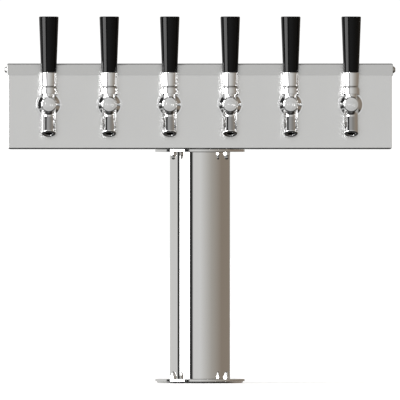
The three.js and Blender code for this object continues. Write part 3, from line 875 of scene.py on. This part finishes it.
def base_fasteners():
    """Acorn nuts on the foot's flange, each with its stud down to the counter."""
    seat = box_mm("base_flange")[1].z + FIT_GAP
    mesh = acorn_nut_mesh(seat - box_mm("base_nut_1")[0].z)
    for i, (x, y) in enumerate(bolt_places(), 1):
        place = Matrix.Translation((x, y, seat))
        add_piece(f"base_acorn_{i}", mesh, "fastener", ROOT, [f"base_nut_{i}"], place)


def head_fasteners():
    """Acorn nuts under the top flange, each on a bolt whose head is on the floor of the head box."""
    seat = box_mm("top_flange")[0].z - FIT_GAP
    floor_top = HEAD_LOW.z + SHEET + FIT_GAP
    mesh = acorn_nut_mesh(floor_top - seat - BOLT_END_GAP)
    mesh.transform(Matrix.Rotation(math.pi, 4, "X"))
    flat = NUT_FLATS / 2
    cap = hexagonal("bolt_head", NUT_FLATS, rounded([
        (0, 0), (NUT_FLATS, 0, HEX_EASE), (flat + BOLT_HEAD_FLARE, BOLT_HEAD_HEIGHT - BOLT_HEAD_CHAMFER),
        (flat - 2 * HEX_EASE, BOLT_HEAD_HEIGHT), (0, BOLT_HEAD_HEIGHT)]))
    for i, (x, y) in enumerate(bolt_places(), 1):
        place = Matrix.Translation((x, y, seat))
        add_piece(f"head_acorn_{i}", mesh, "fastener", ROOT, [f"head_nut_{i}"], place)
        add_piece(f"head_bolt_{i}", cap, "fastener", ROOT, (), Matrix.Translation((x, y, floor_top)))


def is_upright(edge):
    """Whether a box's edge is one of the four that stand, and not a sliver left by a bend."""
    along = (edge.verts[1].co - edge.verts[0].co).normalized()
    return abs(along.z) > PARALLEL and edge.calc_length() > 2 * BEND * MM


def folded_box(name, low, high, open_side):
    """A box of bent sheet with one side open (-1 is the underside, 1 is the top)."""
    def build(work):
        made = bmesh.ops.create_cube(work, size=1.0)
        size = high - low
        for vert in made["verts"]:
            vert.co = Vector([low[k] + (vert.co[k] + 0.5) * size[k] for k in range(3)]) * MM
        gone = [f for f in work.faces if f.normal.z * open_side > FACING]
        bmesh.ops.delete(work, geom=gone, context="FACES_ONLY")
        for upright, radius in ((False, BEND), (True, CORNER)):
            bends = [e for e in work.edges if len(e.link_faces) == 2 and is_upright(e) == upright]
            bmesh.ops.bevel(work, geom=bends, offset=radius * MM, segments=BEND_STEPS, profile=0.5,
                            affect="EDGES", clamp_overlap=True)

    piece = shown("sheet", clean_mesh(name, build))
    thickness = piece.modifiers.new("thickness", "SOLIDIFY")
    thickness.thickness = SHEET * MM
    thickness.offset = -1
    thickness.use_even_offset = True
    result = evaluated(piece)
    bpy.data.objects.remove(piece)
    return result


def head_box():
    """The casing, with holes for the lines, the shanks, the bolts and the lid's screws."""
    low, high = HEAD_LOW.z - CUT_MARGIN, HEAD_LOW.z + 2 * CUT_MARGIN
    cutters = [rod("hole", LINE_HOLE_RADIUS, low, high, FINE_SIDES, Matrix.Translation((0, COLUMN_Y, 0)))]
    for number in range(1, FAUCET_COUNT + 1):
        place = faucet_place(number) @ FORWARD
        cutters.append(rod("hole", SHANK_HOLE_RADIUS, -2 * CUT_MARGIN, 2 * CUT_MARGIN, SMALL_SIDES, place))
    for x, y in bolt_places():
        cutters.append(rod("hole", BOLT_HOLE_RADIUS, low, high, SMALL_SIDES, Matrix.Translation((x, y, 0))))
    cutters.append(lid_screw_hole())
    mesh = carved(folded_box("head_box_sheet", HEAD_LOW, HEAD_HIGH, 1), cutters)
    add_piece("head_casing", mesh, "satin", ROOT, ["head_box"])


def lid_screw_hole():
    """A rod along the whole head, where the two lid screws pass through its ends."""
    low, high = box_mm("lid")
    screw_low, screw_high = box_mm("lid_screw_right")
    across = Matrix.Translation((0, COLUMN_Y, (screw_low.z + screw_high.z) / 2))
    return rod("hole", LID_SCREW_HOLE_RADIUS, low.x - LID_SCREW_HOLE_MARGIN, high.x + LID_SCREW_HOLE_MARGIN,
               SMALL_SIDES, across @ Matrix.Rotation(math.pi / 2, 4, "Y"))


def lid():
    mesh = folded_box("lid_sheet", *box_mm("lid"), -1)
    add_piece("lid_cover", carved(mesh, [lid_screw_hole()]), "lid", ROOT, ["lid"])


def lid_screws():
    """Button-headed screws with a hexagonal socket."""
    for side, word in ((-1, "left"), (1, "right")):
        low, high = box_mm(f"lid_screw_{word}")
        radius = (high.z - low.z) / 2
        top = high.x - low.x
        head = top - LID_SCREW_HEAD_HEIGHT
        outline = rounded([
            (0, 0), (LID_SCREW_RADIUS, 0, FINE_EDGE), (LID_SCREW_RADIUS, head), (radius, head, EDGE),
            (radius, top - LID_SCREW_RIM_DROP, LID_SCREW_RIM_EDGE),
            (radius * LID_SCREW_CROWN_SHARE, top - LID_SCREW_CROWN_DROP, LID_SCREW_CROWN_EDGE),
            (0, top)], FINE_EDGE_STEPS)
        floor_height, above = top - SOCKET_DEPTH, top + CUT_MARGIN
        socket = hexagonal("socket", SOCKET_FLATS, [
            (0, floor_height), (SOCKET_REACH, floor_height), (SOCKET_REACH, above), (0, above)])
        mesh = carved(turned(f"lid_screw_{word}", outline, SMALL_SIDES), [socket])
        mesh.transform(Matrix.Rotation(side * math.pi / 2, 4, "Y"))
        inner_end = low.x if side > 0 else high.x
        place = Matrix.Translation((inner_end, COLUMN_Y, (low.z + high.z) / 2))
        add_piece(f"end_screw_{word}", mesh, "screw", ROOT, [f"lid_screw_{word}"], place)


# ---------------------------------------------------------------- faucet pieces, in a faucet's own frame


def shank_mesh():
    """Threaded shank with its flange, nose and barbed hose tail."""
    barbs = []
    for i in range(BARB_COUNT):
        crest = BARB_START + i * BARB_PITCH
        barbs += [(BARB_RADIUS, crest), (TAIL_RADIUS, crest + BARB_DROP)]
    thread = []
    for i in range(THREAD_TURNS):
        crest = THREAD_START + i * THREAD_PITCH
        thread += [(THREAD_RADIUS, crest), (THREAD_ROOT, crest + THREAD_PITCH / 2)]
    flange = rounded([
        (THREAD_RADIUS, FIT_GAP), (SHANK_FLANGE_RADIUS, FIT_GAP, FINE_EDGE),
        (SHANK_FLANGE_RADIUS, SHANK_FLANGE_FRONT, EDGE), (NOSE_RADIUS, SHANK_FLANGE_FRONT)])
    outline = [
        (SHANK_BORE, SHANK_END), (TAIL_TIP_RADIUS, SHANK_END), *barbs, (TAIL_RADIUS, THREAD_END),
        (THREAD_END_RADIUS, THREAD_END), *thread, *flange, (NOSE_RADIUS, SHANK_NOSE_FRONT),
        (SHANK_SEAT_RADIUS, SHANK_NOSE_FRONT), (SHANK_SEAT_RADIUS, SHANK_SEAT_BACK),
        (SHANK_BORE, SHANK_SEAT_BACK), (SHANK_BORE, SHANK_END)]
    return turned("shank", outline, PART_SIDES, FORWARD)


def lock_nut_mesh():
    front = -SHEET - FIT_GAP
    back = front - LOCK_NUT_THICKNESS
    face = LOCK_NUT_FLATS / 2 - LOCK_NUT_EASE
    corner = LOCK_NUT_FLATS / 2 / math.cos(math.pi / 6) + HEX_EASE
    outline = [
        (LOCK_NUT_BORE, back), (face, back), (corner, back + LOCK_NUT_CHAMFER),
        (corner, front - LOCK_NUT_CHAMFER), (face, front), (LOCK_NUT_BORE, front), (LOCK_NUT_BORE, back)]
    return hexagonal("lock_nut", LOCK_NUT_FLATS, outline, FORWARD)


def coupling_nut_mesh():
    """The ring nut that clamps the faucet, with four holes in its side for a pin spanner."""
    outline = rounded([
        (COUPLING_BORE, COUPLING_BACK), (COUPLING_RADIUS, COUPLING_BACK, WIDE_EDGE),
        (COUPLING_RADIUS, COUPLING_SHOULDER, WIDE_EDGE),
        (COUPLING_TIP_RADIUS, COUPLING_FRONT, COUPLING_TIP_EDGE), (COUPLING_LIP_RADIUS, COUPLING_FRONT),
        (COUPLING_LIP_RADIUS, COUPLING_LIP_BACK), (COUPLING_BORE, COUPLING_LIP_BACK)])
    ring = turned("coupling_nut", [*outline, outline[0]], PART_SIDES, FORWARD)
    cutters = []
    for i in range(PIN_HOLE_COUNT):
        turn = Matrix.Rotation(math.pi / 4 + i * math.pi / 2, 4, "Y")
        place = turn @ Matrix.Translation((0, -PIN_HOLE_FORWARD, 0))
        cutters.append(rod("hole", PIN_HOLE_RADIUS, PIN_HOLE_FLOOR, PIN_HOLE_TOP, PIN_HOLE_SIDES, place))
    return carved(ring, cutters)


def badge_mesh():
    """A plain satin disc that follows the knob's crown, with two fine rings turned into it."""
    def crown(radius, lift):
        return (radius, KNOB_FRONT - KNOB_CROWN + math.sqrt(KNOB_CROWN ** 2 - radius ** 2) + lift)

    back = KNOB_FRONT - BADGE_DEPTH
    outline = [
        (0, back), (BADGE_RADIUS, back), crown(BADGE_RADIUS, -BADGE_RIM_DROP),
        crown(BADGE_RADIUS - BADGE_RIM, BADGE_LIFT)]
    for groove in BADGE_GROOVES:
        outline += [crown(groove + GROOVE_TOP, BADGE_LIFT), crown(groove + GROOVE_FLOOR, -BADGE_LIFT),
                    crown(groove - GROOVE_FLOOR, -BADGE_LIFT), crown(groove - GROOVE_TOP, BADGE_LIFT)]
    outline.append(crown(0, BADGE_LIFT))
    return turned("badge", outline, PART_SIDES, FORWARD)


def shade_sleeve_mesh():
    """A near-black sleeve of painted shade in the spout's bore, open at both ends, from below the chamber to
    the mouth.
    """
    inside = SPOUT_BORE - SHADE_SLEEVE_SKIN
    outside = SPOUT_BORE + SHADE_SLEEVE_DEPTH
    outline = [
        (inside, SHADE_SLEEVE_START), (outside, SHADE_SLEEVE_START), (outside, SPOUT_LENGTH - SHADE_SLEEVE_END),
        (inside, SPOUT_LENGTH - SHADE_SLEEVE_LIP), (inside, SHADE_SLEEVE_START)]
    return turned("bore_shade_sleeve", outline, SMALL_SIDES, TO_SPOUT)


def bonnet_mesh():
    """The collar over the ball, with a slot in its dome for the lever's stem."""
    collar = rounded([
        (BONNET_BORE, BONNET_BORE_TOP), (BONNET_BORE, COLLAR_BOTTOM),
        (COLLAR_RADIUS, COLLAR_BOTTOM, WIDE_EDGE), (COLLAR_RADIUS, 0)])
    shoulder_start = math.acos(COLLAR_RADIUS / COLLAR_SWEEP)
    shoulder_end = math.asin(COLLAR_TOP / COLLAR_SWEEP)
    dome_start = math.asin((COLLAR_TOP + COLLAR_GROOVE) / DOME_RADIUS)
    outline = [
        *arc(SOCKET_RADIUS, 0, math.pi / 2, SOCKET_END, SOCKET_STEPS), *collar[:-1],
        *arc(COLLAR_SWEEP, 0, shoulder_start, shoulder_end, EDGE_STEPS),
        *arc(DOME_RADIUS, 0, dome_start, math.pi / 2, DOME_STEPS)]
    shell = turned("bonnet", outline, PART_SIDES, TO_BONNET)
    return carved(shell, [stem_room_mesh()])


def stem_room_mesh():
    """The room that the lever's stem sweeps through the bonnet's dome."""
    radius = STEM_RADIUS + STEM_ROOM_GAP

    def build(work):
        # half a turn round the stem at each end of the throw, each as (swing, ahead, side)
        section = []
        for swing, first in ((0.0, math.pi / 2), (THROW, -math.pi / 2)):
            for i in range(STEM_ROOM_STEPS + 1):
                angle = first + math.pi * i / STEM_ROOM_STEPS
                section.append((swing, radius * math.cos(angle), radius * math.sin(angle)))
        rows = []
        for height in (STEM_ROOM_FLOOR, STEM_ROOM_TOP):
            row = []
            for swing, ahead, side in section:
                swung = Matrix.Rotation(swing, 4, "X") @ Vector((side, -ahead, height))
                row.append(work.verts.new((TO_PIVOT @ swung) * MM))
            rows.append(row)
        floor_row, top_row = rows
        for i in range(len(section)):
            j = (i + 1) % len(section)
            work.faces.new([floor_row[i], floor_row[j], top_row[j], top_row[i]])
        work.faces.new(floor_row)
        work.faces.new(top_row)

    return clean_mesh("stem_room", build)


def lever_mesh():
    """Finger, ball, stem, conical ferrule and the stud for the handle, turned as one piece."""
    ball_top = math.acos(STEM_RADIUS / BALL_RADIUS)
    ball_bottom = -math.acos(FINGER_RADIUS / BALL_RADIUS)
    cup_inside = math.acos(STEM_RADIUS / CUP_RADIUS)
    cup_mouth = math.acos(FERRULE_MOUTH / CUP_RADIUS)
    lip = CUP_RADIUS * math.sin(cup_mouth)
    ferrule = rounded([
        (FERRULE_MOUTH, lip), (FERRULE_RIM_RADIUS, lip + FERRULE_RIM_EDGE, FERRULE_RIM_EDGE),
        (FERRULE_TOP_RADIUS, FERRULE_TOP, WIDE_EDGE), (FERRULE_SEAT_RADIUS, FERRULE_TOP)])
    outline = [
        *arc(FINGER_TIP_RADIUS, -FINGER_LENGTH, -math.pi / 2, math.pi / 6, FINE_EDGE_STEPS),
        *arc(BALL_RADIUS, 0, ball_bottom, ball_top, BALL_STEPS),
        *arc(CUP_RADIUS, 0, cup_inside, cup_mouth, CUP_STEPS), *ferrule[1:],
        (STUD_RADIUS, FERRULE_TOP), (STUD_RADIUS, STUD_SHOULDER), (STUD_TIP_RADIUS, STUD_TOP), (0, STUD_TOP)]
    return turned("lever", outline, PART_SIDES, TO_PIVOT)


def handle_mesh():
    """The tapered handle with eased edges and a blind hole for its stud."""
    low, high = box_mm("handle_1")
    bottom, top = low.z - PIVOT.z, high.z - PIVOT.z
    wide = (high.x - low.x) / 2
    outline = rounded([
        (0, HANDLE_HOLE_TOP), (HANDLE_HOLE_RADIUS, HANDLE_HOLE_TOP), (HANDLE_HOLE_RADIUS, bottom),
        (HANDLE_FOOT_RADIUS, bottom, HANDLE_FOOT_EDGE), (wide, top, HANDLE_TOP_EDGE),
        (0, top)], FINE_EDGE_STEPS)
    return turned("handle", outline, PART_SIDES, TO_PIVOT)


def handle_bush_mesh():
    """The threaded metal bush moulded into the handle's foot."""
    bottom = box_mm("handle_1")[0].z - PIVOT.z + BUSH_SINK
    outline = [
        (BUSH_BORE, bottom), (BUSH_RADIUS, bottom), (BUSH_RADIUS, BUSH_TOP), (BUSH_BORE, BUSH_TOP),
        (BUSH_BORE, bottom)]
    return turned("handle_bush", outline, SMALL_SIDES, TO_PIVOT)


def valve_shaft_mesh():
    """Valve rod with its seal at the back and the slotted block that the lever's finger moves."""
    outline = rounded([
        (0, VALVE_BACK), (VALVE_BACK_RADIUS, VALVE_BACK, EDGE), (SEAL_RADIUS, SEAL_BACK, EDGE),
        (SEAL_RADIUS, SEAL_FRONT, SEAL_EDGE), (VALVE_CONE_RADIUS, VALVE_CONE_FRONT, EDGE),
        (VALVE_ROD_RADIUS, VALVE_CONE_FRONT), (VALVE_ROD_RADIUS, BLOCK_BACK),
        (BLOCK_RADIUS, BLOCK_BACK, WIDE_EDGE), (BLOCK_RADIUS, BLOCK_FRONT, WIDE_EDGE), (0, BLOCK_FRONT)])
    shaft = turned("valve_shaft", outline, SMALL_SIDES, FORWARD)

    def slot(work):
        wide, long, high = SLOT_SIZE
        for vert in bmesh.ops.create_cube(work, size=1.0)["verts"]:
            x, y, z = vert.co
            vert.co = Vector((x * wide, y * long - PIVOT_FORWARD, (z + 0.5) * high + SLOT_FLOOR)) * MM

    return carved(shaft, [clean_mesh("slot", slot)])


def faucets():
    """All the faucets, from shared meshes. An entry ends with whether it stands for a CAD node."""
    parts = {
        "shank": (shank_mesh(), "chrome", ROOT, True),
        "coupling_nut": (coupling_nut_mesh(), "chrome", ROOT, True),
        "faucet_body": (faucet_body_mesh(), "chrome", ROOT, True),
        "valve_shaft": (valve_shaft_mesh(), "machined", "tap_valve", True),
        "bonnet": (bonnet_mesh(), "chrome", ROOT, True),
        "lever": (lever_mesh(), "chrome", "tap_lever", True),
        "handle": (handle_mesh(), "plastic", "tap_lever", True),
        "lock_nut": (lock_nut_mesh(), "fastener", ROOT, False),
        "badge": (badge_mesh(), "frosted", ROOT, False),
        # painted shade: a near-black sleeve inside the spout's bore
        "bore_shade_sleeve": (shade_sleeve_mesh(), "bore_shade", ROOT, False),
        "handle_bush": (handle_bush_mesh(), "machined", "tap_lever", False),
    }
    for number in range(1, FAUCET_COUNT + 1):
        place = faucet_place(number)
        for name, (mesh, look, rider, stands_in) in parts.items():
            body = ROOT if rider == ROOT else f"{rider}_{number}"
            replaced = [f"{name}_{number}"] if stands_in else []
            add_piece(f"tap_{name}_{number}", mesh, look, body, replaced, place)


# ---------------------------------------------------------------- studio


def camera():
    """A very long lens, level with the middle of the tower, as a flat product picture has."""
    data = bpy.data.cameras.new("camera")
    data.lens = data.sensor_width * CAMERA_DISTANCE / FRAMED_WIDTH
    data.clip_end = 4 * CAMERA_DISTANCE
    eye = shown("camera", data)
    eye.location = (0.0, HEAD_LOW.y * MM - CAMERA_DISTANCE, CAMERA_HEIGHT)
    eye.rotation_euler = (math.pi / 2, 0.0, 0.0)
    bpy.context.scene.camera = eye


def azimuth_stop(degrees):
    return degrees / 360.0 + 0.5


def elevation_stop(degrees):
    return degrees / 180.0 + 0.5


def panel(shader, around, height, edges, margin, softness):
    """A soft-edged rectangle in azimuth and elevation, as a mask."""
    def soft_band(along, low, high, stop):
        return shader.ramp(along, [
            (stop(low - margin), 0.0), (stop(low - margin + softness), 1.0),
            (stop(high + margin - softness), 1.0), (stop(high + margin), 0.0)])

    across = soft_band(around, edges["left"], edges["right"], azimuth_stop)
    up = soft_band(height, edges["bottom"], edges["top"], elevation_stop)
    return shader.math("MULTIPLY", across, up)


def studio_world():
    """Grey walls, a darker floor and one tall soft lamp in a black frame, seen in reflections."""
    world = bpy.data.worlds.new("studio")
    world.use_nodes = True
    bpy.context.scene.world = world
    shader = Shader(world.node_tree)
    direction = shader.add("ShaderNodeTexCoord").outputs["Generated"]
    split = shader.add("ShaderNodeSeparateXYZ", {"Vector": direction})
    x, y, z = (split.outputs[k] for k in ("X", "Y", "Z"))
    bearing = shader.math("ARCTAN2", x, shader.math("MULTIPLY", y, -1.0))
    around = shader.math("ADD", shader.math("DIVIDE", bearing, 2 * math.pi), 0.5)
    height = shader.math("ADD", shader.math("DIVIDE", shader.math("ARCSINE", z), math.pi), 0.5)
    walls = shader.ramp(around, [(azimuth_stop(azimuth), tone) for azimuth, tone in ROOM_WALLS])
    shade = shader.ramp(height, [(elevation_stop(e), share) for e, share in ROOM_SHADE])
    room = shader.add("ShaderNodeMix", data_type="RGBA", blend_type="MULTIPLY")
    shader.set(room.inputs[0], 1.0)
    shader.set(room.inputs[6], walls)
    shader.set(room.inputs[7], shade)
    frame_mask = panel(shader, around, height, LAMP, LAMP_FRAME, FRAME_SOFTNESS)
    framed = shader.mixed(frame_mask, room.outputs[2], (*[FRAME_SHADE] * 3, 1))
    glow = (*[LAMP_BRIGHTNESS] * 3, 1)
    lit = shader.mixed(panel(shader, around, height, LAMP, 0.0, LAMP_SOFTNESS), framed, glow)
    studio = shader.add("ShaderNodeBackground", {"Color": lit, "Strength": 1.0})
    white = shader.add("ShaderNodeBackground", {"Color": (1, 1, 1, 1), "Strength": BACKDROP_BRIGHTNESS})
    seen = shader.add("ShaderNodeLightPath").outputs["Is Camera Ray"]
    mix = shader.add("ShaderNodeMixShader", {"Fac": seen})
    shader.links.new(studio.outputs[0], mix.inputs[1])
    shader.links.new(white.outputs[0], mix.inputs[2])
    output = shader.add("ShaderNodeOutputWorld")
    shader.links.new(mix.outputs[0], output.inputs["Surface"])


def floor():
    """A pale floor under a broad overhead light. Neither shows in the polished metal."""
    corners = [(x * FLOOR_REACH, y * FLOOR_REACH, 0) for x, y in ((-1, -1), (1, -1), (1, 1), (-1, 1))]
    mesh = bpy.data.meshes.new("floor")
    mesh.from_pydata(corners, [], [(0, 1, 2, 3)])
    material, shader = new_material("pale_floor")
    tone = shader.mixed(shader.noise(0.8, detail=2.0), (0.9, 0.9, 0.9, 1), (0.93, 0.93, 0.93, 1))
    finish_material(shader, Base_Color=tone, Roughness=0.9, Emission_Color=(1, 1, 1, 1),
                    Emission_Strength=FLOOR_GLOW)
    mesh.materials.append(material)
    ground = shown("floor", mesh)
    ground.location.z = -FLOOR_DROP
    ground.visible_glossy = False
    lamp = bpy.data.lights.new("overhead", "SUN")
    lamp.energy = SUN_STRENGTH
    lamp.angle = SUN_SIZE
    overhead = shown("overhead", lamp)
    overhead.visible_glossy = False


def color_management():
    settings = bpy.context.scene.view_settings
    settings.view_transform = "Standard"
    settings.look = "None"
    settings.exposure = 0.0
    settings.gamma = 1.0


# ---------------------------------------------------------------- assembly

camera()
color_management()
studio_world()
floor()

plate("counter_ring", "base_ring", LINE_HOLE_RADIUS, RING_RIMS, RING_UNDERCUT)
plate("foot_flange", "base_flange", COLUMN_RADIUS + FIT_GAP, FOOT_RIMS)
plate("collar_flange", "top_flange", COLUMN_RADIUS + FIT_GAP, COLLAR_RIMS)
column()
weld_bead("foot_weld", box_mm("base_flange")[1].z, 1)
weld_bead("collar_weld", box_mm("top_flange")[0].z, -1)
base_fasteners()
head_fasteners()
head_box()
lid()
lid_screws()
faucets()

bpy.context.view_layer.update()
